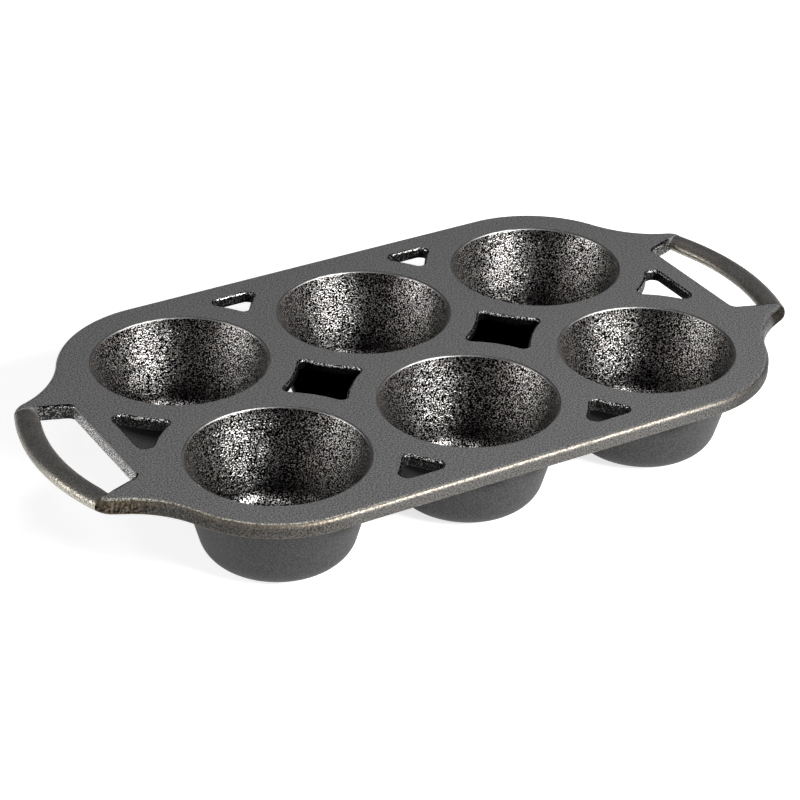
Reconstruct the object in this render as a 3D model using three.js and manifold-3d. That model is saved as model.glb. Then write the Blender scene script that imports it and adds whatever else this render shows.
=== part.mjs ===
// Six-cup cast iron muffin pan, in millimetres, standing on its cups with +Z up.
// The pan is one casting, modelled as the regions that it is made of: a pierced deck, six cups that
// hang from it and two bowed handle bars. The regions meet face to face.
import * as THREE from 'three';
import { mergeVertices } from 'three/addons/utils/BufferGeometryUtils.js';
import Module from 'manifold-3d';

// Overall
const PAN_HEIGHT = 51;
const CUP_COLUMNS = ['left', 'middle', 'right'];
const CUP_ROWS = ['front', 'back'];

// Cups
const CUP_MOUTH_RADIUS = 42.5;
const CUP_DRAFT = THREE.MathUtils.degToRad(15);
const CUP_WALL = 4.8;
const CUP_FLOOR = 4;
const CUP_FLOOR_ROUND = 13;
const CUP_BASE_ROUND = 14;
const CUP_NECK_ROUND = 3;
const MOUTH_ROUND = 1.5;

// Deck, a plate with a deeper rim, and the metal that is left between its openings
const PLATE_THICKNESS = 5.8;
const RIM_THICKNESS = 7.4;
const RIM_FROM_CUP = 2;
const RIM_AT_SLOT = 9;
const DECK_EDGE_ROUND = 1.8;
const LAND_BETWEEN_COLUMNS = 16;
const LAND_BETWEEN_ROWS = 14;
const LAND_TO_EDGE = 16.7;
const LAND_TO_SLOT = 20.1;
const WINDOW_COLLAR = 14;
const WINDOW_TO_EDGE = 13.1;
const WINDOW_TO_SLOT = 10.6;
const WINDOW_TIP_ROUND = 3;
const WINDOW_CORNER_ROUND = 4;

// Handles, each a bowed bar between two ears
const FINGER_GAP = 22.4;
const BAR_WIDTH = 11;
const BAR_THICKNESS = 7.6;
const BAR_DROP = 0.4;
const BAR_BOW_RADIUS = 121;
const BAR_SPAN = 85;
const SLOT_FLARE = THREE.MathUtils.degToRad(20);
const SLOT_CORNER_ROUND = 4;
const EAR_TIP_ROUND = 9.5;
const EAR_NECK_ROUND = 49;

// Fineness of the facets
const FACET_TOLERANCE = 0.2;
const CUP_SEGMENTS = 36;
const BAR_SECTION_SEGMENTS = 16;
const BAR_RING_SEGMENTS = 120;
const CUT_MARGIN = 5;

// Sizes that follow from the driving dimensions
const pitchX = 2 * CUP_MOUTH_RADIUS + LAND_BETWEEN_COLUMNS;
const pitchY = 2 * CUP_MOUTH_RADIUS + LAND_BETWEEN_ROWS;
const columnX = CUP_COLUMNS.map((name, i) => (i - (CUP_COLUMNS.length - 1) / 2) * pitchX);
const rowY = CUP_ROWS.map((name, i) => (i - (CUP_ROWS.length - 1) / 2) * pitchY);
const endColumnX = columnX[CUP_COLUMNS.length - 1];
const backRowY = rowY[CUP_ROWS.length - 1];
const cornerRadius = CUP_MOUTH_RADIUS + LAND_TO_EDGE;
const deckHalfWidth = backRowY + cornerRadius;
const plateUnderside = PAN_HEIGHT - PLATE_THICKNESS;
const rimUnderside = PAN_HEIGHT - RIM_THICKNESS;
const collarRadius = CUP_MOUTH_RADIUS + WINDOW_COLLAR;
const slotWallX = endColumnX + CUP_MOUTH_RADIUS + LAND_TO_SLOT;
const barCentreX = slotWallX + FINGER_GAP + BAR_WIDTH / 2;
const bowCentreX = barCentreX - BAR_BOW_RADIUS;
const barEndAngle = Math.asin(BAR_SPAN / 2 / BAR_BOW_RADIUS);

const wasm = await Module();
wasm.setup();

function vec(x, y) {
  return new THREE.Vector2(x, y);
}

// Point at a distance from one point, on the way to another.
function towards(from, to, distance) {
  return to.clone().sub(from).setLength(distance).add(from);
}

// Where two circles cross, on the left-hand side of the line from the first centre to the second.
function meetLeft(centreA, radiusA, centreB, radiusB) {
  const apart = centreA.distanceTo(centreB);
  const along = (apart * apart + radiusA * radiusA - radiusB * radiusB) / (2 * apart);
  const aside = Math.sqrt(radiusA * radiusA - along * along);
  const direction = centreB.clone().sub(centreA).normalize();
  const left = vec(-direction.y, direction.x);
  return centreA.clone().addScaledVector(direction, along).addScaledVector(left, aside);
}

// Points of an arc about a centre from one point to another, the shorter way round.
function arc(centre, start, end) {
  const radius = centre.distanceTo(start);
  const startAngle = start.clone().sub(centre).angle();
  let turn = end.clone().sub(centre).angle() - startAngle;
  turn -= 2 * Math.PI * Math.round(turn / (2 * Math.PI));
  const widestStep = 2 * Math.acos(Math.max(0, 1 - FACET_TOLERANCE / radius));
  const steps = Math.max(1, Math.ceil(Math.abs(turn) / widestStep));
  const points = [];
  for (let i = 0; i <= steps; i += 1) {
    const angle = startAngle + (turn * i) / steps;
    points.push(vec(centre.x + radius * Math.cos(angle), centre.y + radius * Math.sin(angle)));
  }
  return points;
}

// The same points with those that repeat their neighbour left out.
function withoutRepeats(points) {
  const least = FACET_TOLERANCE / 10;
  return points.filter((point, i) => point.distanceTo(points.at(i - 1)) > least);
}

// Solids for joining and cutting, and back to geometry

function toSolid(geometry) {
  const bare = geometry.clone();
  bare.deleteAttribute('normal');
  bare.deleteAttribute('uv');
  const merged = mergeVertices(bare);
  const vertProperties = new Float32Array(merged.attributes.position.array);
  const triVerts = new Uint32Array(merged.index.array);
  return new wasm.Manifold(new wasm.Mesh({ numProp: 3, vertProperties, triVerts }));
}

function toGeometry(solid) {
  const mesh = solid.getMesh();
  const geometry = new THREE.BufferGeometry();
  geometry.setAttribute('position', new THREE.BufferAttribute(new Float32Array(mesh.vertProperties), 3));
  geometry.setIndex(new THREE.BufferAttribute(new Uint32Array(mesh.triVerts), 1));
  geometry.computeVertexNormals();
  return geometry;
}

// A profile of radius and height, turned about the upright axis.
function turned(profile, segments) {
  const geometry = new THREE.LatheGeometry(profile, segments);
  geometry.rotateX(Math.PI / 2);
  return geometry;
}

// Cups

function innerRadius(height) {
  return CUP_MOUTH_RADIUS - (PAN_HEIGHT - height) * Math.tan(CUP_DRAFT);
}

function outerRadius(height) {
  return innerRadius(height) + CUP_WALL / Math.cos(CUP_DRAFT);
}

// Direction across the drafted wall, away from the cup's axis.
function acrossWall(length) {
  return vec(length * Math.cos(CUP_DRAFT), -length * Math.sin(CUP_DRAFT));
}

// Rounded corner between the drafted wall and a level floor or base.
function floorRound(wallRadius, floorHeight, radius) {
  const height = floorHeight + radius;
  const centre = vec(wallRadius(height) - radius / Math.cos(CUP_DRAFT), height);
  return arc(centre, vec(centre.x, floorHeight), centre.clone().add(acrossWall(radius)));
}

// Rounded corner where the drafted wall runs out into a level face above it.
function lipRound(wallRadius, faceHeight, radius) {
  const height = faceHeight - radius;
  const centre = vec(wallRadius(height) + radius / Math.cos(CUP_DRAFT), height);
  return arc(centre, centre.clone().sub(acrossWall(radius)), vec(centre.x, faceHeight));
}

// Half section of a cup: up its inside from the floor, across its neck, and down its outside to the base.
function cupGeometry() {
  const profile = [
    vec(0, CUP_FLOOR),
    ...floorRound(innerRadius, CUP_FLOOR, CUP_FLOOR_ROUND),
    vec(innerRadius(plateUnderside), plateUnderside),
    ...lipRound(outerRadius, plateUnderside, CUP_NECK_ROUND).reverse(),
    ...floorRound(outerRadius, 0, CUP_BASE_ROUND).reverse(),
    vec(0, 0),
  ];
  return turned(profile.reverse(), CUP_SEGMENTS);
}

// Space inside a cup's mouth, where it passes through the deck.
function mouthCutter() {
  const bottom = plateUnderside - CUT_MARGIN;
  const top = PAN_HEIGHT + CUT_MARGIN;
  const lip = lipRound(innerRadius, PAN_HEIGHT, MOUTH_ROUND);
  const profile = [
    vec(0, bottom),
    vec(innerRadius(bottom), bottom),
    ...lip,
    vec(lip.at(-1).x, top),
    vec(0, top),
  ];
  return turned(profile, CUP_SEGMENTS);
}

// Windows in the deck, each a loop of rounded corners joined by sides
// A side is the collar about a cup, given by the cup's centre, or a straight edge, given by its normal.

function collar(x, y) {
  const centre = vec(x, y);
  return {
    touch: (corner) => towards(corner.centre, centre, corner.radius),
    run: (start, end) => arc(centre, start, end),
  };
}

function straight(x, y) {
  const normal = vec(x, y);
  return {
    touch: (corner) => corner.centre.clone().addScaledVector(normal, corner.radius),
    run: (start, end) => [start, end],
  };
}

function windowLoop(corners, sides) {
  const points = corners.flatMap((corner, i) => {
    const before = sides.at(i - 1);
    const after = sides[i];
    const next = corners[(i + 1) % corners.length];
    return [
      ...arc(corner.centre, before.touch(corner), after.touch(corner)),
      ...after.run(after.touch(corner), after.touch(next)),
    ];
  });
  return withoutRepeats(points);
}

// Distance from a cup's centre to a window's tip, measured square to the line joining two cups.
function tipReach(halfPitch) {
  const reach = collarRadius + WINDOW_TIP_ROUND;
  return Math.sqrt(reach * reach - halfPitch * halfPitch);
}

// Distance from a cup's centre to a window's outer corner, along the window's straight edge.
function cornerReach(edgeFromCup) {
  const reach = collarRadius + WINDOW_CORNER_ROUND;
  const square = edgeFromCup - WINDOW_CORNER_ROUND;
  return Math.sqrt(reach * reach - square * square);
}

// Four-cornered window between four cups.
function diamondWindow(x) {
  const tipX = pitchX / 2 - tipReach(pitchY / 2);
  const tipY = pitchY / 2 - tipReach(pitchX / 2);
  const tip = (dx, dy) => ({ centre: vec(x + dx, dy), radius: WINDOW_TIP_ROUND });
  const corners = [tip(tipX, 0), tip(0, tipY), tip(-tipX, 0), tip(0, -tipY)];
  const cup = (sx, sy) => collar(x + (sx * pitchX) / 2, (sy * pitchY) / 2);
  return windowLoop(corners, [cup(1, 1), cup(-1, 1), cup(-1, -1), cup(1, -1)]);
}

// Three-cornered window between two neighbouring cups of a row and the deck's long edge.
function sideWindow(x, side) {
  const edgeFromCup = cornerRadius - WINDOW_TO_EDGE;
  const cornerX = pitchX / 2 - cornerReach(edgeFromCup);
  const cornerY = side * (backRowY + edgeFromCup - WINDOW_CORNER_ROUND);
  const tipY = side * (backRowY + tipReach(pitchX / 2));
  const corners = [
    { centre: vec(x, tipY), radius: WINDOW_TIP_ROUND },
    { centre: vec(x + cornerX, cornerY), radius: WINDOW_CORNER_ROUND },
    { centre: vec(x - cornerX, cornerY), radius: WINDOW_CORNER_ROUND },
  ];
  const rightCup = collar(x + pitchX / 2, side * backRowY);
  const leftCup = collar(x - pitchX / 2, side * backRowY);
  return windowLoop(corners, [rightCup, straight(0, side), leftCup]);
}

// Three-cornered window between the two cups of an end column and the finger slot.
function endWindow(side) {
  const edgeFromCup = slotWallX - WINDOW_TO_SLOT - endColumnX;
  const cornerX = side * (endColumnX + edgeFromCup - WINDOW_CORNER_ROUND);
  const cornerY = pitchY / 2 - cornerReach(edgeFromCup);
  const tipX = side * (endColumnX + tipReach(pitchY / 2));
  const corners = [
    { centre: vec(tipX, 0), radius: WINDOW_TIP_ROUND },
    { centre: vec(cornerX, cornerY), radius: WINDOW_CORNER_ROUND },
    { centre: vec(cornerX, -cornerY), radius: WINDOW_CORNER_ROUND },
  ];
  const backCup = collar(side * endColumnX, pitchY / 2);
  const frontCup = collar(side * endColumnX, -pitchY / 2);
  return windowLoop(corners, [backCup, straight(side, 0), frontCup]);
}

// Outline of the deck

// A quarter of the outline, from the back edge round the corner and the ear to the finger slot's wall.
function quarterOutline() {
  const corner = vec(endColumnX, backRowY);
  const bow = vec(bowCentreX, 0);
  const atBarEnd = (radius) => vec(radius, 0).rotateAround(vec(0, 0), barEndAngle).add(bow);

  const barEnd = atBarEnd(BAR_BOW_RADIUS + BAR_WIDTH / 2);
  const tip = towards(barEnd, bow, EAR_TIP_ROUND);
  const neck = meetLeft(corner, cornerRadius + EAR_NECK_ROUND, tip, EAR_NECK_ROUND + EAR_TIP_ROUND);
  const neckStart = towards(corner, neck, cornerRadius);
  const neckEnd = towards(tip, neck, EAR_TIP_ROUND);

  const slotEnd = atBarEnd(BAR_BOW_RADIUS - BAR_WIDTH / 2);
  const slotCorner = vec(slotWallX, slotEnd.y - (slotEnd.x - slotWallX) * Math.tan(SLOT_FLARE));
  const setBack = SLOT_CORNER_ROUND * Math.tan((Math.PI / 2 - SLOT_FLARE) / 2);
  const roundStart = towards(slotCorner, slotEnd, setBack);
  const roundEnd = vec(slotWallX, slotCorner.y - setBack);
  const roundCentre = vec(slotWallX + SLOT_CORNER_ROUND, roundEnd.y);
  return [
    ...arc(corner, vec(corner.x, deckHalfWidth), neckStart),
    ...arc(neck, neckStart, neckEnd),
    ...arc(tip, neckEnd, barEnd),
    slotEnd,
    ...arc(roundCentre, roundStart, roundEnd),
  ];
}

function deckOutline() {
  const backQuarter = quarterOutline();
  const frontQuarter = backQuarter.map((point) => vec(point.x, -point.y));
  const rightEnd = [...frontQuarter, ...backQuarter.reverse()];
  const leftEnd = rightEnd.map((point) => vec(-point.x, -point.y));
  return withoutRepeats([...rightEnd, ...leftEnd]);
}

// Shallow recess under the plate, which leaves a deeper rim round the edge and along the finger slots.
function recessCutter() {
  const neck = lipRound(outerRadius, plateUnderside, CUP_NECK_ROUND).at(-1);
  const radius = neck.x + RIM_FROM_CUP;
  const halfLength = slotWallX - RIM_AT_SLOT;
  const centre = vec(halfLength - radius, backRowY);
  const quarter = arc(centre, vec(halfLength, centre.y), vec(centre.x, centre.y + radius));
  const across = quarter.map((point) => vec(-point.x, point.y)).reverse();
  const backHalf = [...quarter, ...across];
  const frontHalf = backHalf.map((point) => vec(-point.x, -point.y));
  const recess = new THREE.ExtrudeGeometry(new THREE.Shape([...backHalf, ...frontHalf]), {
    depth: plateUnderside - rimUnderside + CUT_MARGIN,
    bevelEnabled: false,
  });
  recess.translate(0, 0, rimUnderside - CUT_MARGIN);
  return recess;
}

function deckGeometry() {
  const shape = new THREE.Shape(deckOutline());
  const windowX = columnX.slice(1).map((x) => x - pitchX / 2);
  const loops = [
    ...windowX.map((x) => diamondWindow(x)),
    ...windowX.flatMap((x) => [sideWindow(x, 1), sideWindow(x, -1)]),
    endWindow(1),
    endWindow(-1),
  ];
  shape.holes = loops.map((points) => new THREE.Path(points));
  const plate = new THREE.ExtrudeGeometry(shape, {
    depth: RIM_THICKNESS - 2 * DECK_EDGE_ROUND,
    bevelThickness: DECK_EDGE_ROUND,
    bevelSize: DECK_EDGE_ROUND,
    bevelOffset: -DECK_EDGE_ROUND,
    bevelSegments: 2,
  });
  plate.translate(0, 0, rimUnderside + DECK_EDGE_ROUND);
  const mouth = toSolid(mouthCutter());
  const mouths = columnX.flatMap((x) => rowY.map((y) => mouth.translate([x, y, 0])));
  const cuts = [toSolid(recessCutter()), ...mouths];
  return toGeometry(cuts.reduce((deck, cut) => deck.subtract(cut), toSolid(plate)));
}

// Handle bars

// A ring of rounded section about the centre of the bow, cut square at the two ears.
function barGeometry() {
  const section = new THREE.EllipseCurve(BAR_BOW_RADIUS, 0, BAR_WIDTH / 2, BAR_THICKNESS / 2);
  const ring = turned(section.getPoints(BAR_SECTION_SEGMENTS), BAR_RING_SEGMENTS);
  const reach = 2 * BAR_BOW_RADIUS;
  const endSlope = Math.tan(barEndAngle);
  const sector = new THREE.Shape([vec(0, 0), vec(reach, -reach * endSlope), vec(reach, reach * endSlope)]);
  const wedge = new THREE.ExtrudeGeometry(sector, { depth: 2 * BAR_THICKNESS, bevelEnabled: false });
  wedge.translate(0, 0, -BAR_THICKNESS);
  return toGeometry(toSolid(ring).intersect(toSolid(wedge)));
}

// Assembly

function castIron(color, roughness) {
  return new THREE.MeshStandardMaterial({ color, roughness, metalness: 0.6 });
}

function add(group, name, geometry, material) {
  const mesh = new THREE.Mesh(geometry, material);
  mesh.name = name;
  group.add(mesh);
  return mesh;
}

const pan = new THREE.Group();
add(pan, 'deck', deckGeometry(), castIron(0x5e5e60, 0.75));

columnX.forEach((x, column) => {
  rowY.forEach((y, row) => {
    const name = `cup_${CUP_ROWS[row]}_${CUP_COLUMNS[column]}`;
    const cup = add(pan, name, cupGeometry(), castIron(0x2a2a2b, 0.4));
    cup.position.set(x, y, 0);
  });
});

const barHeight = PAN_HEIGHT - BAR_DROP - BAR_THICKNESS / 2;
const handleRight = add(pan, 'handle_right', barGeometry(), castIron(0x4a4643, 0.45));
handleRight.position.set(bowCentreX, 0, barHeight);
const handleLeft = add(pan, 'handle_left', barGeometry(), castIron(0x4a4643, 0.45));
handleLeft.position.set(-bowCentreX, 0, barHeight);
handleLeft.rotation.z = Math.PI;

export default pan;
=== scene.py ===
"""Dressed model of a six-cup cast iron muffin pan, in metres, standing on its cups with +Z up."""

import cmath
import math

import bpy
import numpy as np
from mathutils import Matrix, Vector
from mathutils.geometry import delaunay_2d_cdt


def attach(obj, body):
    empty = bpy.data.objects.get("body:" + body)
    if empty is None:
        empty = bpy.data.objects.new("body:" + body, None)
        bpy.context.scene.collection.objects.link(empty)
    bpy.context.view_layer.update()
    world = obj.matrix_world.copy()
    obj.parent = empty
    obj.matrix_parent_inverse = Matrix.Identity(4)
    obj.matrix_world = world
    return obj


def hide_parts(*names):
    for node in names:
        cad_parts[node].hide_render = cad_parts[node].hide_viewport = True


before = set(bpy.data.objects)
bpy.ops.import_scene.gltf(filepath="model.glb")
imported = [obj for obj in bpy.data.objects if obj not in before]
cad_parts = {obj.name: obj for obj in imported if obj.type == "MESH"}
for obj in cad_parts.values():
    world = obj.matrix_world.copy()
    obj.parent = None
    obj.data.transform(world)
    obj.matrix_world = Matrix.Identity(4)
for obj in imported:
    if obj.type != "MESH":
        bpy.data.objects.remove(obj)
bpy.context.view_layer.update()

# Sizes of the pan, in millimetres
MM = 0.001
PAN_HEIGHT = 51
COLUMN_X = {"left": -101, "middle": 0, "right": 101}
ROW_Y = {"front": -49.5, "back": 49.5}
MOUTH_RADIUS = 42.5
DRAFT = math.radians(15)
CUP_WALL = 4.8
CUP_FLOOR = 4
PLATE_UNDERSIDE = 45.2
RIM_UNDERSIDE = 43.6
RIM_FROM_CUP = 2
RECESS_HALF_LENGTH = 154.6
CORNER_RADIUS = 59.2
COLLAR_RADIUS = 56.5
SIDE_WINDOW_Y = 95.6
END_WINDOW_X = 153
SIDE_WINDOW_MIDDLE_Y = 91
END_WINDOW_MIDDLE_X = 148
DIAMONDS = (COLUMN_X["left"] / 2, COLUMN_X["right"] / 2)
SIDE_WINDOWS = [complex(x, y) for x in DIAMONDS for y in (-SIDE_WINDOW_MIDDLE_Y, SIDE_WINDOW_MIDDLE_Y)]
SMALL_WINDOWS = SIDE_WINDOWS + [-END_WINDOW_MIDDLE_X, END_WINDOW_MIDDLE_X]
SLOT_WALL_X = 163.6
SLOT_FLARE = math.radians(20)
BAR_BOW_RADIUS = 121
BAR_BOW_X = 70.5
BAR_SPAN = 85
BAR_END_ANGLE = math.asin(BAR_SPAN / 2 / BAR_BOW_RADIUS)
BAR_END_SPOKE = cmath.exp(1j * BAR_END_ANGLE)
BAR_IN_EAR = 6
BAR_TIP_INSET = 1
BAR_WIDTH = 11
BAR_FULLER = 0.9
BAR_THICKNESS = 7.6
BAR_HEIGHT = 46.8

# Roundings, in millimetres
FLOOR_ROUND = 13
BASE_ROUND = 14
NECK_ROUND = 3
LIP_ROUND = 1.5
RECESS_ROUND = 0.5
SLOT_CORNER_ROUND = 4
EAR_TIP_ROUND = 9.5
EAR_NECK_ROUND = 49
WINDOW_TIP_ROUND = 3
WINDOW_CORNER_ROUND = 4
WINDOW_INSET = 0.3
WINDOW_FLARE = 0.9
WINDOW_UNDER_ROUND = 0.5
DIAMOND_UNDER_ROUND = 2.4

# Rounding of the deck's outer edge, in millimetres
# It has a reach and a drop where a bar begins, and a radius on an ear, along a long edge and in a slot.
# The last four values are distances from the bar, along the outside, over which it blends.
EDGE_ROUND = {
    "top": {"bar_reach": 5.2, "bar_drop": 4.2, "ear": 4.4, "long_edge": 2.4, "slot": 0.9},
    "under": {"bar_reach": 4.6, "bar_drop": 3.0, "ear": 1.8, "long_edge": 1.4, "slot": 0.8},
}
SLIDE_END = 5
BAR_BLEND_END = 14
EAR_BLEND_START = 8
EAR_BLEND_END = 45

# Seasoning, wear, painted shade and painted highlights
# A glint is a highlight painted in a band up a rounding. The band is an angle up the rounding and its
# width, in radians.
# Edges of windows that face this side get a painted glint.
PAINTED_GLINT_SIDE = cmath.rect(1, math.radians(-125))
RIM_PAINTED_GLINT = (1.2, 0.15)
WINDOW_PAINTED_GLINT = (0.8, 0.38)
# Shares of black painted as shade on the walls of the diamonds and of the smaller windows.
DIAMOND_PAINTED_SHADE = 1.0
WINDOW_PAINTED_SHADE = 0.75
SIDE_WEAR = 0.06
UNDER_WEAR = 0.5
LIP_WEAR = 1.6

# Fineness of the meshes
# A level face starts a margin, in millimetres, away from a rounding.
STEP = 1.3
WIDEST_TURN = math.radians(7)
SHARPEST_SMOOTHED = math.radians(38)
CUP_SEGMENTS = 144
LIP_STEPS = 7
WORN_LIP_RINGS = 5
MOUTH_FOOT = 2
UNDER_RINGS = 7
TOP_RINGS = 11
TOP_FOOT = UNDER_RINGS + 1
CREST = TOP_FOOT + TOP_RINGS - 2
UNDER_MARGIN = 0.3
TOP_MARGIN = 0.4
RECESS_RINGS = 4
BAR_SECTION_POINTS = 48
BAR_RINGS = 101
TRIANGLES_INSIDE = 1
MERGE_DISTANCE = 1e-5

# Material slots of the deck and of the cups
DECK_MATTE = 0
DECK_PEBBLED = 1
DECK_BLACK = 2
CUP_INSIDE = 0
CUP_OUTSIDE = 1

# Camera, floor and light, in metres and degrees
CAMERA_PLACE = (-0.57379, -0.94902, 0.67408)
CAMERA_TURN = -30.816
CAMERA_DIP = 30.335
CAMERA_ROLL = 0.9306
CAMERA_LENS_MM = 119.008
CAMERA_SENSOR_MM = 36
CAMERA_NEAREST = 0.05
FLOOR_REACH = 60
FLOOR_BELOW_CUPS = 0.0002
FLOOR_GREY = 0.86
FLOOR_LIFT = 0.76
WORLD_STRENGTH = 0.03
LIGHT_TARGET = (0, 0, 0.04)


# Plan curves, as complex numbers in millimetres
# Each run stops just short of its end, so that runs can be joined into a loop.


def line(start, end, step=STEP):
    count = max(1, math.ceil(abs(end - start) / step))
    return [start + (end - start) * k / count for k in range(count)]


def arc(centre, start, end, step=STEP):
    """The shorter way round a centre."""
    spoke = start - centre
    turn = cmath.phase((end - centre) / spoke)
    count = math.ceil(max(abs(turn) * abs(spoke) / step, abs(turn) / WIDEST_TURN, 1))
    return [centre + spoke * cmath.exp(1j * turn * k / count) for k in range(count)]


def towards(start, end, distance):
    return start + (end - start) * distance / abs(end - start)


def meet_left(centre_a, radius_a, centre_b, radius_b):
    """Where two circles cross, on the left of the line from the first centre to the second."""
    apart = abs(centre_b - centre_a)
    along = (apart**2 + radius_a**2 - radius_b**2) / (2 * apart)
    aside = math.sqrt(radius_a**2 - along**2)
    return centre_a + (centre_b - centre_a) / apart * complex(along, aside)


def smooth(start, end, value):
    """0 before start and 1 after end, with a smooth rise between. Start may be the greater of the two."""
    share = np.clip((value - start) / (end - start), 0, 1)
    return share * share * (3 - 2 * share)


def inward(loop):
    """Unit normals of a loop, towards the material on its left."""
    step = np.roll(loop, -1) - loop
    step = step / abs(step)
    tangent = step + np.roll(step, 1)
    return 1j * tangent / abs(tangent)


def circle(centre, radius):
    """Clockwise, so that the material is on the outside."""
    turns = np.arange(CUP_SEGMENTS) / CUP_SEGMENTS
    return centre + radius * np.exp(-2j * np.pi * turns)


def nearest(loop, places):
    """Distance from each point of a loop to the nearest of some places."""
    return np.min([abs(loop - place) for place in places], axis=0)


def turns_right(points):
    """True if a loop runs clockwise."""
    return sum((a.conjugate() * b).imag for a, b in zip(points, points[1:] + points[:1])) < 0


def whole(quarter, turned):
    """Values for all four quarters of an outline, from those of the back right one. The left half is the
    right half times turned, which is -1 for places and directions, and 1 for other values."""
    right = np.concatenate([quarter[:0:-1].conjugate(), quarter[:-1]])
    return np.concatenate([right, turned * right])


# Outline of the deck


class Edge:
    """A loop with the material on its left, and how it is rounded at the top and at the underside.
    Across a rounding, a point moves along its normal by a reach and in height by a drop. At the end of an
    ear it also slides along the face where the bar begins. Each point has a finish, a material slot, and
    shares of wear, of dark tint, which is seasoning on the deck's edge and black painted as shade in the
    windows, and of glint, a highlight painted along the top rounding."""

    def __init__(self, place, top=0.0, under=0.0):
        count = len(place)
        self.place = np.array(place)
        self.normal = inward(self.place)
        self.reach = {"top": np.broadcast_to(top, count), "under": np.broadcast_to(under, count)}
        self.drop = dict(self.reach)
        self.slide = np.zeros(count, complex)
        self.slide_reach = dict(self.reach)
        self.finish = np.full(count, DECK_MATTE)
        self.wear = np.ones(count)
        self.tint = np.zeros(count)
        self.glint = np.zeros(count)
        self.glint_band = RIM_PAINTED_GLINT

    def moved(self, face, share, more=0.0):
        """The loop after a share of a rounding, and some millimetres more."""
        normal = self.normal * (self.reach[face] * share + more)
        return self.place + normal + self.slide * (self.slide_reach[face] * share + more)


def quarter_outline():
    """The back right quarter of the deck's edge, from the slot's middle to the long side's middle.
    Its runs are the slot's straight wall and flared end, the face that the bar meets, and the outside."""
    corner = complex(COLUMN_X["right"], ROW_Y["back"])
    bar_end = BAR_BOW_X + (BAR_BOW_RADIUS + BAR_WIDTH / 2) * BAR_END_SPOKE
    slot_end = BAR_BOW_X + (BAR_BOW_RADIUS - BAR_WIDTH / 2) * BAR_END_SPOKE
    tip = bar_end - EAR_TIP_ROUND * BAR_END_SPOKE
    neck = meet_left(corner, CORNER_RADIUS + EAR_NECK_ROUND, tip, EAR_NECK_ROUND + EAR_TIP_ROUND)
    neck_start = towards(corner, neck, CORNER_RADIUS)
    neck_end = towards(tip, neck, EAR_TIP_ROUND)
    back = complex(corner.real, corner.imag + CORNER_RADIUS)
    middle = complex(0, back.imag)

    flare = cmath.exp(1j * SLOT_FLARE)
    slot_corner = slot_end - flare * (slot_end.real - SLOT_WALL_X) / flare.real
    set_back = SLOT_CORNER_ROUND * math.tan((math.pi / 2 - SLOT_FLARE) / 2)
    round_start = slot_corner - 1j * set_back
    round_end = slot_corner + flare * set_back
    round_centre = round_start + SLOT_CORNER_ROUND

    straight = line(complex(SLOT_WALL_X, 0), round_start, step=3)
    flared = arc(round_centre, round_start, round_end) + line(round_end, slot_end)
    end_face = line(slot_end, bar_end, step=0.9)
    outside = arc(tip, bar_end, neck_end, step=0.8) + arc(neck, neck_end, neck_start)
    outside += arc(corner, neck_start, back) + line(back, middle, step=4) + [middle]
    return straight, flared, end_face, outside


def deck_edge():
    """The deck's outer edge, counter-clockwise."""
    straight, flared, end_face, outside = quarter_outline()
    slot_count = len(straight) + len(flared)
    first = slot_count + len(end_face)
    place = np.array(straight + flared + end_face + outside)
    along = np.concatenate([[0], np.cumsum(abs(np.diff(place[first:])))])
    on_face = np.concatenate([np.zeros(slot_count), np.arange(len(end_face)) / len(end_face)])
    beside_bar = np.clip(1 - along / SLIDE_END, 0, 1)
    slide = np.concatenate([-BAR_END_SPOKE * on_face, 1j * BAR_END_SPOKE * beside_bar])
    slide[first] = -BAR_END_SPOKE

    edge = Edge(whole(place, -1))
    edge.slide = whole(slide, -1)

    # Along the outside the roundings shrink from the bar to the ear, and from there to the long edge.
    at_bar = 1 - smooth(0, BAR_BLEND_END, along)
    past_ear = smooth(EAR_BLEND_START, EAR_BLEND_END, along)
    for face, size in EDGE_ROUND.items():
        outer = size["ear"] + (size["long_edge"] - size["ear"]) * past_ear
        inner_drop = size["slot"] + (size["bar_drop"] - size["slot"]) * on_face
        outer_drop = outer + (size["bar_drop"] - size["ear"]) * at_bar
        outer_reach = outer + (size["bar_reach"] - size["ear"]) * at_bar
        reach = np.concatenate([np.full(first, size["slot"]), outer_reach])
        reach[first] = size["slot"]
        slide_reach = np.full(len(place), size["slot"])
        slide_reach[: first + 1] = size["bar_reach"]
        edge.reach[face] = whole(reach, 1)
        edge.drop[face] = whole(np.concatenate([inner_drop, outer_drop]), 1)
        edge.slide_reach[face] = whole(slide_reach, 1)

    # A slot is pebbled along its straight wall, just into the corner, and black on its flared ends.
    finish = np.full(len(place), DECK_MATTE)
    finish[: slot_count + 1] = DECK_BLACK
    finish[: len(straight) + 2] = DECK_PEBBLED
    edge.finish = whole(finish, 1)
    from_bar = whole(np.concatenate([np.zeros(first), along]), 1)
    outward = whole(np.concatenate([on_face, np.ones(len(outside))]), 1)
    paint_deck_edge(edge, from_bar, outward)

    # At the outer corners of the ears' ends, the normal is square to the slide.
    corners = abs(abs(edge.slide) - 1) < 1e-9
    quadrant = np.sign(edge.place[corners].real * edge.place[corners].imag)
    edge.normal[corners] = -1j * edge.slide[corners] * quadrant
    return edge


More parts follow.
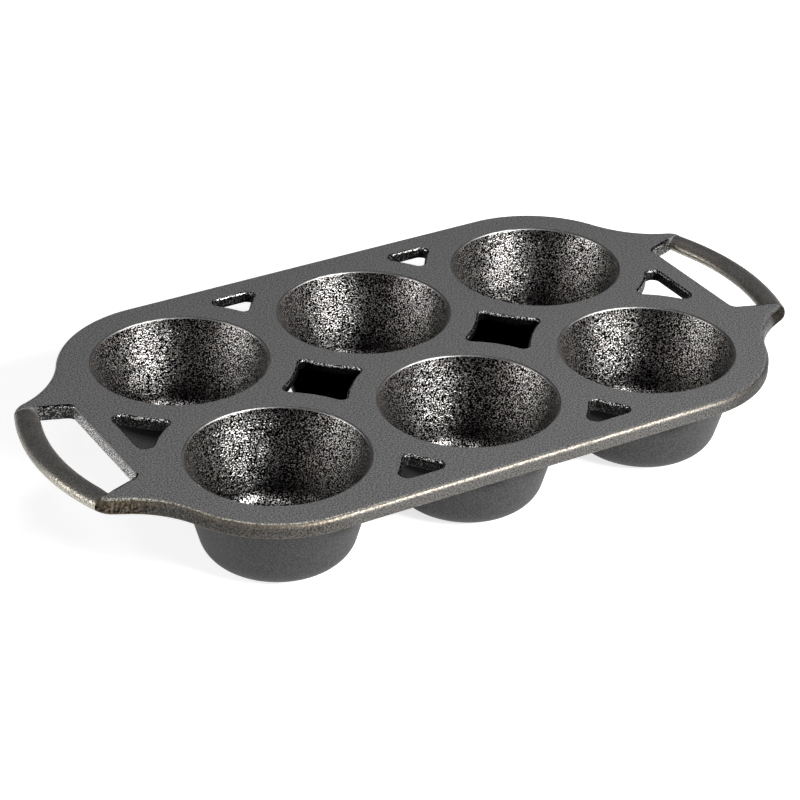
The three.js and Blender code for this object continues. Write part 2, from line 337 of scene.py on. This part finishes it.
def paint_deck_edge(edge, from_bar, outward):
    """Brown on the sides along the front, most of all on its left ear, and black at its right ear's tip.
    The bright wear fades on the ears and towards the right. A golden highlight is painted in a line along
    the front left."""
    x = edge.place.real
    y = edge.place.imag
    near_ear = outward * (1 - smooth(20, 125, from_bar))
    on_ear = outward * (1 - smooth(14, 52, from_bar))
    front = 0.2 + 0.8 * smooth(20, -40, y)
    right = smooth(140, 160, x)
    at_corner = np.maximum(smooth(-50, -110, x), smooth(60, 120, x))
    browned = (1 - 0.35 * right) * np.maximum(0.65 + 0.35 * on_ear, 0.82 * at_corner)
    blackened = right * (1 - smooth(5, 12, abs(from_bar - 10)))
    edge.tint = outward * front * np.maximum(browned, blackened)
    edge.wear = (1 - 0.7 * near_ear) * (1 - 0.85 * smooth(70, 135, x))
    # A highlight painted along the top of the front left edge.
    edge.glint = outward * smooth(-20, -60, y) * smooth(-40, -120, x)


# Windows and recess


def window(corners, sides):
    """A clockwise loop of rounded corners, (centre, radius), joined by sides. A side is the centre of a
    collar, or the direction that a straight edge faces."""
    loop = []
    count = len(corners)
    for i in range(count):
        loop += arc(corners[i][0], touch(corners[i], sides[i - 1]), touch(corners[i], sides[i]), step=0.6)
        start = touch(corners[i], sides[i])
        end = touch(corners[(i + 1) % count], sides[i])
        loop += line(start, end) if abs(sides[i]) == 1 else arc(sides[i], start, end)
    return np.array(loop)


def touch(corner, side):
    """Where a rounded corner runs into a side."""
    centre, radius = corner
    if abs(side) == 1:
        return centre + side * radius
    return towards(centre, side, radius)


def tip_reach(half_pitch):
    """How far the centre of a tip between two collars lies from the line through their cups."""
    return math.sqrt((COLLAR_RADIUS + WINDOW_TIP_ROUND) ** 2 - half_pitch**2)


def corner_reach(edge_from_cup):
    """How far along a straight edge the centre of its corner with a collar lies from the cup."""
    reach = COLLAR_RADIUS + WINDOW_CORNER_ROUND
    return math.sqrt(reach**2 - (edge_from_cup - WINDOW_CORNER_ROUND) ** 2)


def diamonds():
    """The two windows among four cups."""
    half_y = ROW_Y["back"]
    half_x = COLUMN_X["right"] / 2
    across = half_x - tip_reach(half_y)
    along = half_y - tip_reach(half_x)
    loops = []
    for x in DIAMONDS:
        corners = [(x + step, WINDOW_TIP_ROUND) for step in (across, -1j * along, -across, 1j * along)]
        cups = [complex(x + sx * half_x, sy * half_y) for sx, sy in ((1, -1), (-1, -1), (-1, 1), (1, 1))]
        loops.append(window(corners, cups))
    return loops


def small_windows():
    """The six windows between two cups and an edge of the deck."""
    half_y = ROW_Y["back"]
    half_x = COLUMN_X["right"] / 2
    aside = half_x - corner_reach(SIDE_WINDOW_Y - half_y)
    corner_y = SIDE_WINDOW_Y - WINDOW_CORNER_ROUND
    loops = []
    for x in DIAMONDS:
        tip = complex(x, half_y + tip_reach(half_x))
        cups = (complex(x - half_x, half_y), complex(x + half_x, half_y))
        back = triangle(tip, complex(x - aside, corner_y), complex(x + aside, corner_y), cups, 1j)
        loops += [back, back[::-1].conjugate()]

    end_x = COLUMN_X["right"]
    aside = half_y - corner_reach(END_WINDOW_X - end_x)
    corner_x = END_WINDOW_X - WINDOW_CORNER_ROUND
    tip = complex(end_x + tip_reach(half_y), 0)
    cups = (complex(end_x, half_y), complex(end_x, -half_y))
    right_end = triangle(tip, complex(corner_x, aside), complex(corner_x, -aside), cups, 1)
    return loops + [right_end, -right_end]


def triangle(tip, first, last, cups, facing):
    """A window with its tip between two cups' collars, and a straight edge between its other corners."""
    corners = [(tip, WINDOW_TIP_ROUND), (first, WINDOW_CORNER_ROUND), (last, WINDOW_CORNER_ROUND)]
    return window(corners, [cups[0], facing, cups[1]])


def recess_outline():
    """Edge of the shallow recess under the plate, clockwise."""
    radius = neck_ring() + RIM_FROM_CUP
    centre = complex(RECESS_HALF_LENGTH - radius, ROW_Y["back"])
    end = complex(radius + centre.real, 0)
    middle = complex(0, centre.imag + radius)
    quarter = line(end, radius + centre, step=3) + arc(centre, centre + radius, centre + 1j * radius)
    quarter += line(centre + 1j * radius, middle, step=4) + [middle]
    return whole(np.array(quarter), -1)[::-1]


# Half sections of a cup, as (radius, height) pairs in millimetres


def inner_radius(height):
    return MOUTH_RADIUS - (PAN_HEIGHT - height) * math.tan(DRAFT)


def outer_radius(height):
    return inner_radius(height) + CUP_WALL / math.cos(DRAFT)


def neck_ring():
    """Radius at which the fillet of a cup's neck runs into the plate."""
    return outer_radius(PLATE_UNDERSIDE - NECK_ROUND) + NECK_ROUND / math.cos(DRAFT)


def quarter_turn(centre, radius, first, last, count):
    """Points about a centre of (radius, height), with angles measured from the outward level."""
    angles = np.linspace(first, last, count + 1)
    return [(centre[0] + radius * math.cos(a), centre[1] + radius * math.sin(a)) for a in angles]


def floor_round(wall_radius, floor, radius, count):
    """From the edge of a level floor up to the drafted wall."""
    centre = (wall_radius(floor + radius) - radius / math.cos(DRAFT), floor + radius)
    return quarter_turn(centre, radius, -math.pi / 2, -DRAFT, count)


def lip_round(wall_radius, face, radius, count):
    """From the drafted wall up and outward to a level face."""
    centre = (wall_radius(face - radius) + radius / math.cos(DRAFT), face - radius)
    return quarter_turn(centre, radius, math.pi - DRAFT, math.pi / 2, count)


def between(start, end, count):
    """Points that part a straight run, without its two ends."""
    steps = [k / count for k in range(1, count)]
    return [(start[0] + (end[0] - start[0]) * k, start[1] + (end[1] - start[1]) * k) for k in steps]


def cup_inside():
    floor = floor_round(inner_radius, CUP_FLOOR, FLOOR_ROUND, 16)
    top = (inner_radius(PLATE_UNDERSIDE), PLATE_UNDERSIDE)
    flat = between((0, CUP_FLOOR), floor[0], 8)
    return flat + floor + between(floor[-1], top, 12) + [top]


def cup_outside():
    neck = lip_round(outer_radius, PLATE_UNDERSIDE, NECK_ROUND, 6)[::-1]
    base = floor_round(outer_radius, 0, BASE_ROUND, 14)[::-1]
    flat = between(base[-1], (0, 0), 4)
    return neck + between(neck[-1], base[0], 10) + base + flat


def mouth_section():
    """From the plate's underside, up through the mouth and over its lip."""
    lip = lip_round(inner_radius, PAN_HEIGHT, LIP_ROUND, LIP_STEPS)
    under = [(neck_ring() + UNDER_MARGIN, PLATE_UNDERSIDE), (neck_ring(), PLATE_UNDERSIDE)]
    foot = (inner_radius(PLATE_UNDERSIDE), PLATE_UNDERSIDE)
    return under + [foot] + between(foot, lip[0], 4) + lip + [(lip[-1][0] + TOP_MARGIN, PAN_HEIGHT)]


# Meshes


def add_object(name, data):
    item = bpy.data.objects.new(name, data)
    bpy.context.scene.collection.objects.link(item)
    return item


class Casting:
    """Vertices in millimetres and faces of one piece. Each face has a material slot, and each vertex has
    shares of wear, of tint, which is seasoning or black painted as shade, and of glint, a painted
    highlight, which the materials read."""

    def __init__(self):
        self.vertices = []
        self.paint = {"wear": [], "tint": [], "glint": []}
        self.faces = []
        self.slots = []

    def ring(self, loop, heights, **paint):
        """Numbers of new vertices round a loop, with painted values given by name."""
        first = len(self.vertices)
        heights = np.broadcast_to(heights, len(loop))
        self.vertices += [(p.real, p.imag, float(z)) for p, z in zip(loop, heights, strict=True)]
        for name, values in self.paint.items():
            values += list(np.broadcast_to(paint.get(name, 0.0), len(loop)))
        return list(range(first, first + len(loop)))

    def face(self, corners, slot):
        self.faces.append(corners)
        self.slots.append(slot)

    def skin(self, rings, slots):
        """Quads between rings that follow one another, closed round each ring. All share a material slot,
        or each point of a ring has its own."""
        slots = np.broadcast_to(slots, len(rings[0]))
        for low, high in zip(rings, rings[1:]):
            for j in range(len(low)):
                k = (j + 1) % len(low)
                self.face((low[j], low[k], high[k], high[j]), int(min(slots[j], slots[k])))

    def fan(self, ring, place, height, slot):
        """Triangles from a ring to a point that lies ahead of it."""
        pole = self.ring([place], height)[0]
        for j in range(len(ring)):
            self.face((ring[j], ring[(j + 1) % len(ring)], pole), slot)

    def level(self, rings, slot, upward):
        """A level face bounded by rings, the first round the outside and the rest round holes."""
        owners = [v for ring in rings for v in ring]
        places = [self.vertices[v][:2] for v in owners]
        bounds = []
        first = 0
        for ring in rings:
            bounds.append(list(range(first, first + len(ring))))
            if turns_right([complex(*places[v]) for v in bounds[-1]]):
                bounds[-1].reverse()
            first += len(ring)
        found = delaunay_2d_cdt(places, [], bounds, TRIANGLES_INSIDE, MERGE_DISTANCE)
        _, _, triangles, sources, _, regions = found
        for corners, inside in zip(triangles, regions, strict=True):
            if inside == [0]:
                corners = [owners[sources[c][0]] for c in corners]
                self.face(tuple(corners if upward else reversed(corners)), slot)

    def build(self, name, materials):
        mesh = bpy.data.meshes.new(name)
        mesh.from_pydata(np.array(self.vertices) * MM, [], self.faces)
        for material in materials:
            mesh.materials.append(material)
        mesh.polygons.foreach_set("material_index", self.slots)
        for paint, values in self.paint.items():
            mesh.attributes.new(paint, "FLOAT", "POINT").data.foreach_set("value", values)
        mesh.shade_smooth()
        mesh.set_sharp_from_angle(angle=SHARPEST_SMOOTHED)
        mesh.update()
        return add_object(name, mesh)


def wall(casting, edge, low, high):
    """Rings up an edge from the underside to the top, with both of its corners rounded."""
    rings = [casting.ring(edge.moved("under", 1, UNDER_MARGIN), low)]
    for a in np.linspace(np.pi / 2, 0, UNDER_RINGS):
        height = low + edge.drop["under"] * (1 - np.sin(a))
        worn = edge.wear * SIDE_WEAR * np.cos(a) + UNDER_WEAR * edge.tint**4 * np.sin(2 * a)
        rings.append(casting.ring(edge.moved("under", 1 - np.cos(a)), height, wear=worn, tint=edge.tint))
    for a in np.linspace(0, np.pi / 2, TOP_RINGS):
        height = high - edge.drop["top"] * (1 - np.sin(a))
        worn = edge.wear * (SIDE_WEAR * np.cos(a) + (1 - SIDE_WEAR) * np.sin(2 * a) ** 2)
        tint = edge.tint * (1 - smooth(0.8, 1.0, np.sin(a)))
        # A glint is a highlight painted in its band of the top rounding.
        middle, width = edge.glint_band
        glint = edge.glint * np.exp(-(((a - middle) / width) ** 2))
        loop = edge.moved("top", 1 - np.cos(a))
        rings.append(casting.ring(loop, height, wear=worn, tint=tint, glint=glint))
    rings.append(casting.ring(edge.moved("top", 1, TOP_MARGIN), high))
    return rings


def cut_windows(deck, loops, under_round, black):
    """Rings up the walls of windows, painted black as shade. A wall is inset, and its top rounding flares
    past the loop.
    """
    openings = []
    for loop in loops:
        edge = Edge(loop - WINDOW_INSET * inward(loop), WINDOW_INSET + WINDOW_FLARE, under_round)
        # Black painted as shade on the window's walls.
        edge.tint += black
        edge.glint_band = WINDOW_PAINTED_GLINT
        # Edges that face the given side get a highlight painted on their top rounding.
        edge.glint = np.clip((-edge.normal * PAINTED_GLINT_SIDE.conjugate()).real, 0, 1) ** 3
        rings = wall(deck, edge, PLATE_UNDERSIDE, PAN_HEIGHT)
        deck.skin(rings[: TOP_FOOT + 1], DECK_BLACK)
        deck.skin(rings[TOP_FOOT : CREST + 1], DECK_PEBBLED)
        deck.skin(rings[CREST:], DECK_MATTE)
        openings.append(rings)
    return openings


def cut_mouths(deck):
    """Rings up the six mouths and over their lips."""
    section = mouth_section()
    lip = len(section) - LIP_STEPS - 1
    mouths = []
    for x in COLUMN_X.values():
        for y in ROW_Y.values():
            rings = []
            for k, (radius, height) in enumerate(section):
                worn = LIP_WEAR if lip <= k < lip + WORN_LIP_RINGS else 0.0
                rings.append(deck.ring(circle(complex(x, y), radius), height, wear=worn))
            deck.skin(rings[: MOUTH_FOOT + 1], DECK_MATTE)
            deck.skin(rings[MOUTH_FOOT : lip + 1], DECK_PEBBLED)
            deck.skin(rings[lip:], DECK_MATTE)
            mouths.append(rings)
    return mouths


def sink_recess(deck):
    """Rings from the underside of the rim up into the recess."""
    edge = recess_outline()
    normal = inward(edge)
    margin = normal * (RECESS_ROUND + UNDER_MARGIN)
    rings = [deck.ring(edge + margin, RIM_UNDERSIDE)]
    for a in np.linspace(np.pi / 2, 0, RECESS_RINGS):
        aside = normal * RECESS_ROUND * (1 - np.cos(a))
        rings.append(deck.ring(edge + aside, RIM_UNDERSIDE + RECESS_ROUND * (1 - np.sin(a))))
    for a in np.linspace(0, np.pi / 2, RECESS_RINGS):
        aside = normal * RECESS_ROUND * (1 - np.cos(a))
        rings.append(deck.ring(edge - aside, PLATE_UNDERSIDE - RECESS_ROUND * (1 - np.sin(a))))
    rings.append(deck.ring(edge - margin, PLATE_UNDERSIDE))
    deck.skin(rings, DECK_MATTE)
    return rings


def deck_mesh(materials):
    deck = Casting()
    outline = deck_edge()
    rim = wall(deck, outline, RIM_UNDERSIDE, PAN_HEIGHT)
    deck.skin(rim[: TOP_FOOT + 1], outline.finish)
    deck.skin(rim[TOP_FOOT:], np.where(outline.finish == DECK_BLACK, DECK_PEBBLED, DECK_MATTE))
    holes = cut_windows(deck, diamonds(), DIAMOND_UNDER_ROUND, DIAMOND_PAINTED_SHADE)
    holes += cut_windows(deck, small_windows(), WINDOW_UNDER_ROUND, WINDOW_PAINTED_SHADE)
    holes += cut_mouths(deck)
    recess = sink_recess(deck)
    deck.level([rim[-1]] + [rings[-1] for rings in holes], DECK_MATTE, True)
    deck.level([rim[0], recess[0]], DECK_MATTE, False)
    deck.level([recess[-1]] + [rings[0] for rings in holes], DECK_MATTE, False)
    return deck.build("deck_plate", materials)


def cup_mesh(name, centre, materials):
    """A closed shell, painted black outside as shade where it shows through the windows."""
    cup = Casting()
    inside = [cup.ring(circle(centre, radius), height) for radius, height in cup_inside()]
    outside = []
    for radius, height in cup_outside():
        loop = circle(centre, radius)
        # Shade painted black on the outside near the diamonds, and high up near the smaller windows.
        painted_shade_at_diamond = 1 - smooth(52, 72, nearest(loop, DIAMONDS))
        painted_shade_at_window = 0.95 * smooth(24, 34, height) * (1 - smooth(35, 52, nearest(loop, SMALL_WINDOWS)))
        outside.append(cup.ring(loop, height, tint=np.maximum(painted_shade_at_diamond, painted_shade_at_window)))
    cup.fan(inside[0][::-1], centre, CUP_FLOOR, CUP_INSIDE)
    cup.skin(inside, CUP_INSIDE)
    cup.skin([inside[-1], outside[0]], CUP_OUTSIDE)
    cup.skin(outside, CUP_OUTSIDE)
    cup.fan(outside[-1], centre, 0, CUP_OUTSIDE)
    return cup.build(name, materials)


def bar_mesh(name, side, material):
    """A bowed bar of rounded section, fuller on its inner side, whose two ends run into the ears and shrink
    there. Its sides are worn, most of all towards the right bar's back end and the left bar's front end."""
    bar = Casting()
    reach = BAR_END_ANGLE + BAR_IN_EAR / BAR_BOW_RADIUS
    turns = np.linspace(2 * np.pi, 0, BAR_SECTION_POINTS, endpoint=False)
    rings = []
    for a in np.linspace(-reach, reach, BAR_RINGS):
        sunk = max(0, (abs(a) - BAR_END_ANGLE) * BAR_BOW_RADIUS)
        narrowed = sunk**2 / 20 + 0.1 * sunk
        fuller = BAR_FULLER * (1 - smooth(0.8 * BAR_END_ANGLE, BAR_END_ANGLE, abs(a)))
        half_width = (BAR_WIDTH - narrowed) / 2 + np.where(np.cos(turns) < 0, fuller, 0)
        radii = BAR_BOW_RADIUS - narrowed / 2 + half_width * np.cos(turns)
        heights = BAR_THICKNESS / 2 * np.sin(turns)
        heights[heights < 0] *= 1 - 0.06 * sunk
        place = side * (BAR_BOW_X + radii * cmath.exp(1j * a))
        worn = abs(np.cos(turns)) ** 2.2 * (0.6 + 0.8 * smooth(-0.05, 0.2, a))
        rings.append(bar.ring(place, BAR_HEIGHT + heights, wear=worn))
    bar.skin(rings, 0)
    for ring, a in ((rings[0][::-1], -reach), (rings[-1], reach)):
        tip = side * (BAR_BOW_X + (BAR_BOW_RADIUS - BAR_TIP_INSET) * cmath.exp(1j * a))
        bar.fan(ring, tip, BAR_HEIGHT, 0)
    return bar.build(name, [material])


# Materials


class Finish:
    """A material of one surface, with the nodes that vary it."""

    def __init__(self, name):
        self.material = bpy.data.materials.new(name)
        self.material.use_nodes = True
        self.tree = self.material.node_tree

    def add(self, kind, **values):
        """A new node, with values for its inputs or for its own settings."""
        node = self.tree.nodes.new(kind)
        for name, value in values.items():
            socket = node.inputs.get(name.replace("_", " ").title())
            if socket is not None:
                socket.default_value = value
            else:
                setattr(node, name, value)
        return node

    def feed(self, socket, value):
        """Gives an input a constant, or links a value that varies to it."""
        if isinstance(value, bpy.types.NodeSocket):
            self.tree.links.new(value, socket)
        else:
            socket.default_value = value

    def place(self):
        """A point's place in the pan's frame, in metres."""
        return self.add("ShaderNodeTexCoord").outputs["Object"]

    def along(self, axis):
        """Distance from the origin along an axis, in metres."""
        node = self.add("ShaderNodeSeparateXYZ")
        self.feed(node.inputs[0], self.place())
        return node.outputs[axis]

    def painted(self, name):
        """A value that the mesh holds at each vertex."""
        return self.add("ShaderNodeAttribute", attribute_name=name).outputs["Fac"]

    def noise(self, grain, detail=2.0, roughness=0.5, flatness=1.0):
        """Noise whose grains are about so many millimetres across, and wider than high by the flatness."""
        node = self.add("ShaderNodeTexNoise", scale=1 / (grain * MM), detail=detail, roughness=roughness)
        squeeze = self.add("ShaderNodeMapping", scale=(1, 1, flatness))
        self.feed(squeeze.inputs["Vector"], self.place())
        self.feed(node.inputs["Vector"], squeeze.outputs["Vector"])
        return node.outputs["Fac"]

    def ramp(self, source, *stops):
        """Colours along a value, as (position, colour) stops."""
        node = self.add("ShaderNodeValToRGB")
        elements = node.color_ramp.elements
        while len(elements) < len(stops):
            elements.new(0.5)
        for element, (position, colour) in zip(elements, stops):
            element.position = position
            element.color = (*colour, 1)
        self.feed(node.inputs["Fac"], source)
        return node.outputs["Color"]

    def spread(self, source, low, high, from_low=0.0, from_high=1.0):
        """A value moved from one range to another, held at its ends."""
        ends = {"from_min": from_low, "from_max": from_high, "to_min": low, "to_max": high}
        node = self.add("ShaderNodeMapRange", **ends)
        self.feed(node.inputs["Value"], source)
        return node.outputs["Result"]

    def combine(self, operation, first, second):
        node = self.add("ShaderNodeMath", operation=operation)
        self.feed(node.inputs[0], first)
        self.feed(node.inputs[1], second)
        return node.outputs["Value"]

    def times(self, first, second):
        return self.combine("MULTIPLY", first, second)

    def mix(self, share, first, second):
        """The first colour, with a share of the second."""
        # A mix node has sockets for each type of value. The numbered ones are its colours.
        node = self.add("ShaderNodeMix", data_type="RGBA")
        self.feed(node.inputs["Factor"], share)
        self.feed(node.inputs[6], first)
        self.feed(node.inputs[7], second)
        return node.outputs[2]

    def bump(self, height, depth, strength):
        """Relief of a depth in millimetres."""
        node = self.add("ShaderNodeBump", distance=depth * MM)
        self.feed(node.inputs["Strength"], strength)
        self.feed(node.inputs["Height"], height)
        return node.outputs["Normal"]

    def shade(self, inputs):
        """The material, with some of its shader's inputs given by name."""
        shader = self.tree.nodes["Principled BSDF"]
        for name, value in inputs.items():
            self.feed(shader.inputs[name], value)
        return self.material


def deck_iron():
    """Matte sand-cast grey, worn bright along its edges. A tinted side is brown, mottled where the tint is
    full and black towards the right end, and its worn edge is bronze. A glint is a painted golden
    highlight."""
    iron = Finish("deck_iron_matte")
    grain = iron.noise(0.75, roughness=0.65)
    patches = iron.noise(14, detail=3.0)
    chipped = iron.noise(1.1, detail=3.0, roughness=0.7)
    spots = iron.noise(1.3, detail=3.0, roughness=0.7)
    tint = iron.painted("tint")
    worn = iron.times(iron.painted("wear"), iron.spread(chipped, 0.5, 1.0, 0.4, 0.55))
    glint = iron.times(iron.painted("glint"), iron.spread(chipped, 0.0, 1.0, 0.45, 0.54))

    tone = iron.ramp(grain, (0.38, (0.03, 0.03, 0.031)), (0.62, (0.325, 0.325, 0.326)))
    stain = iron.ramp(patches, (0.35, (0.14, 0.14, 0.142)), (0.7, (0.18, 0.178, 0.176)))
    grey = iron.mix(iron.spread(patches, 0.1, 0.3), tone, stain)

    brown = iron.ramp(grain, (0.38, (0.01, 0.0092, 0.008)), (0.62, (0.085, 0.0765, 0.065)))
    mottle = iron.ramp(spots, (0.44, (0.003, 0.0027, 0.0023)), (0.59, (0.14, 0.116, 0.088)))
    black = iron.ramp(grain, (0.4, (0.002, 0.002, 0.002)), (0.65, (0.025, 0.024, 0.023)))
    fully_tinted = iron.spread(tint, 0.0, 1.0, 0.86, 1.0)
    at_right = iron.spread(iron.along("X"), 0.0, 0.85, 0.07, 0.125)
    dark = iron.mix(at_right, iron.mix(fully_tinted, brown, mottle), black)

    silver = iron.ramp(grain, (0.3, (0.27, 0.268, 0.264)), (0.7, (0.54, 0.535, 0.527)))
    bronze = iron.ramp(grain, (0.3, (0.135, 0.105, 0.068)), (0.7, (0.36, 0.29, 0.2)))
    # Colour of the painted golden highlight.
    painted_golden_glint = iron.ramp(grain, (0.4, (0.25, 0.225, 0.175)), (0.58, (0.95, 0.88, 0.74)))
    colour = iron.mix(tint, grey, dark)
    colour = iron.mix(worn, colour, iron.mix(tint, silver, bronze))
    return iron.shade(
        {
            "Base Color": iron.mix(glint, colour, painted_golden_glint),
            "Roughness": iron.spread(worn, 0.55, 0.37),
            "Normal": iron.bump(grain, depth=0.3, strength=0.7),
            "Metallic": iron.times(iron.spread(worn, 0.2, 1.0), iron.spread(glint, 1.0, 0.0)),
            "Specular IOR Level": iron.spread(tint, 0.5, 0.0),
        }
    )


def cup_iron():
    """Black glossy seasoning over sharp pebbles, which are low at the lip and on the floor. Shade is
    painted black in a band just above the floor. A glint is a highlight painted on the pebbles' tips in a
    dull bright colour."""
    iron = Finish("cup_iron_seasoned")
    pebble = iron.noise(0.66, detail=0.3, flatness=1.2)
    height = iron.along("Z")
    glint = iron.painted("glint")
    bright = iron.ramp(
        pebble,
        (0.445, (0.0008, 0.0008, 0.0008)),
        (0.545, (0.046, 0.0445, 0.0435)),
        (0.622, (0.92, 0.89, 0.875)),
    )
    black = iron.ramp(pebble, (0.4, (0.003, 0.003, 0.003)), (0.65, (0.06, 0.059, 0.058)))
    # Colour of the pebbles' tips where a glint is painted.
    painted_glint_tips = iron.ramp(pebble, (0.49, (0.004, 0.004, 0.004)), (0.6, (0.9, 0.895, 0.885)))
    # Shade painted black in a band just above the floor.
    above_floor = iron.spread(height, 0.0, 0.85, 0.009, 0.0125)
    painted_shade = iron.times(above_floor, iron.spread(height, 1.0, 0.0, 0.011, 0.024))
    colour = iron.mix(painted_shade, bright, black)
    off_floor = iron.spread(height, 0.2, 1.0, 0.007, 0.015)
    sharp = iron.times(off_floor, iron.spread(height, 1.0, 0.5, 0.045, 0.0495))
    return iron.shade(
        {
            "Base Color": iron.mix(glint, colour, painted_glint_tips),
            "Roughness": iron.spread(pebble, 0.3, 0.28, 0.35, 0.65),
            "Normal": iron.bump(pebble, depth=0.31, strength=sharp),
            "Metallic": iron.spread(glint, 1.0, 0.0),
        }
    )


def window_iron():
    """Speckled seasoning on the flared ends of the slots. In the windows it is painted black as shade,
    without specular, where it is tinted.
    """
    iron = Finish("deck_iron_black")
    grain = iron.noise(0.9, roughness=0.6)
    tint = iron.painted("tint")
    speckled = iron.ramp(
        grain,
        (0.4, (0.001, 0.001, 0.001)),
        (0.54, (0.012, 0.012, 0.012)),
        (0.63, (0.3, 0.296, 0.29)),
    )
    black = iron.ramp(grain, (0.4, (0.0008, 0.0008, 0.0008)), (0.64, (0.009, 0.0088, 0.0085)))
    return iron.shade(
        {
            "Base Color": iron.mix(tint, speckled, black),
            "Roughness": iron.spread(grain, 0.45, 0.3),
            "Normal": iron.bump(grain, depth=0.25, strength=0.6),
            "Metallic": 0.0,
            "Specular IOR Level": iron.spread(tint, 0.2, 0.0),
        }
    )


def cup_outside_iron():
    """Dull sand-cast dark grey, painted black as shade, without specular, where it is tinted."""
    iron = Finish("cup_iron_dull")
    grain = iron.noise(0.85, roughness=0.65)
    patches = iron.noise(18, detail=3.0)
    tint = iron.painted("tint")
    tone = iron.ramp(grain, (0.39, (0.004, 0.004, 0.004)), (0.62, (0.062, 0.0615, 0.061)))
    stain = iron.ramp(patches, (0.35, (0.029, 0.029, 0.03)), (0.7, (0.043, 0.042, 0.0405)))
    black = iron.ramp(grain, (0.36, (0.001, 0.001, 0.001)), (0.64, (0.004, 0.004, 0.004)))
    grey = iron.mix(iron.spread(patches, 0.05, 0.25), tone, stain)
    return iron.shade(
        {
            "Base Color": iron.mix(tint, grey, black),
            "Roughness": iron.spread(grain, 0.55, 0.7),
            "Normal": iron.bump(grain, depth=0.2, strength=0.5),
            "Metallic": iron.spread(tint, 0.2, 0.0),
            "Specular IOR Level": iron.spread(tint, 0.5, 0.0),
        }
    )


def handle_iron():
    """Brownish iron, polished along its sides by hands."""
    iron = Finish("handle_iron_smooth")
    grain = iron.noise(0.8, roughness=0.65)
    patches = iron.noise(9, detail=3.0)
    rubbed = iron.noise(1.3, detail=3.0, roughness=0.7)
    worn = iron.times(iron.painted("wear"), iron.spread(rubbed, 0.3, 1.0, 0.4, 0.6))
    tone = iron.ramp(grain, (0.36, (0.034, 0.0332, 0.0325)), (0.64, (0.2, 0.195, 0.19)))
    stain = iron.ramp(patches, (0.35, (0.095, 0.0915, 0.0885)), (0.7, (0.175, 0.168, 0.161)))
    bright = iron.ramp(grain, (0.3, (0.26, 0.238, 0.2)), (0.7, (0.58, 0.535, 0.455)))
    dull = iron.mix(iron.spread(patches, 0.2, 0.5), tone, stain)
    return iron.shade(
        {
            "Base Color": iron.mix(worn, dull, bright),
            "Roughness": iron.spread(worn, 0.42, 0.33),
            "Normal": iron.bump(grain, depth=0.3, strength=0.7),
            "Metallic": iron.spread(worn, 0.35, 1.0),
        }
    )


def floor_white():
    """A pale floor, lifted to white where it is seen straight, mirrored or through glass."""
    floor = Finish("floor_white")
    rays = floor.add("ShaderNodeLightPath").outputs
    seen = floor.combine("MAXIMUM", rays["Is Camera Ray"], rays["Is Glossy Ray"])
    seen = floor.combine("MAXIMUM", seen, rays["Is Transmission Ray"])
    return floor.shade(
        {
            "Base Color": (FLOOR_GREY, FLOOR_GREY, FLOOR_GREY, 1),
            "Roughness": 1.0,
            "Specular IOR Level": 0.0,
            "Emission Color": (1, 1, 1, 1),
            "Emission Strength": floor.spread(seen, 0.0, FLOOR_LIFT),
        }
    )


# Places of pieces and lights


def stand_for(piece, node):
    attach(piece, "root")
    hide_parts(node)


def softbox(name, place, width, height, radiance):
    """A soft rectangle of light that faces the middle of the pan."""
    lamp = bpy.data.lights.new(name, "AREA")
    lamp.shape = "RECTANGLE"
    lamp.size = width
    lamp.size_y = height
    lamp.energy = radiance * math.pi * width * height
    box = add_object(name, lamp)
    box.location = place
    aim = Vector(LIGHT_TARGET) - box.location
    box.rotation_euler = aim.to_track_quat("-Z", "Y").to_euler()
    box.visible_camera = False


# Pieces

pebbled = cup_iron()
dull = cup_outside_iron()
grip = handle_iron()

stand_for(deck_mesh([deck_iron(), pebbled, window_iron()]), "deck")

for row, y in ROW_Y.items():
    for column, x in COLUMN_X.items():
        node = f"cup_{row}_{column}"
        stand_for(cup_mesh(f"{node}_bowl", complex(x, y), [pebbled, dull]), node)

for end, side in (("left", -1), ("right", 1)):
    node = f"handle_{end}"
    stand_for(bar_mesh(f"{node}_bar", side, grip), node)

# Floor, light and camera

floor_corners = [(x * FLOOR_REACH, y * FLOOR_REACH, 0) for x, y in ((-1, -1), (1, -1), (1, 1), (-1, 1))]
floor_mesh = bpy.data.meshes.new("floor")
floor_mesh.from_pydata(floor_corners, [], [(0, 1, 2, 3)])
floor_mesh.materials.append(floor_white())
floor = add_object("floor", floor_mesh)
floor.location.z = -FLOOR_BELOW_CUPS

world = bpy.data.worlds.new("studio")
world.use_nodes = True
world.node_tree.nodes["Background"].inputs["Color"].default_value = (1, 1, 1, 1)
world.node_tree.nodes["Background"].inputs["Strength"].default_value = WORLD_STRENGTH
bpy.context.scene.world = world

softbox("key_light", place=(0.58, -1.2, 0.8), width=0.65, height=0.5, radiance=34.5)
softbox("left_light", place=(-1.28, 0.5, 0.46), width=0.55, height=0.5, radiance=7.8)
softbox("top_light", place=(-0.42, -0.6, 1.25), width=0.5, height=0.5, radiance=1.5)

camera = bpy.data.cameras.new("camera")
camera.sensor_fit = "HORIZONTAL"
camera.sensor_width = CAMERA_SENSOR_MM
camera.lens = CAMERA_LENS_MM
camera.clip_start = CAMERA_NEAREST
viewer = add_object("camera", camera)
turn = Matrix.Rotation(math.radians(CAMERA_TURN), 4, "Z")
tilt = Matrix.Rotation(math.radians(90 - CAMERA_DIP), 4, "X")
roll = Matrix.Rotation(math.radians(CAMERA_ROLL), 4, "Z")
viewer.matrix_world = Matrix.Translation(CAMERA_PLACE) @ turn @ tilt @ roll
bpy.context.scene.camera = viewer

bpy.context.scene.view_settings.view_transform = "Standard"
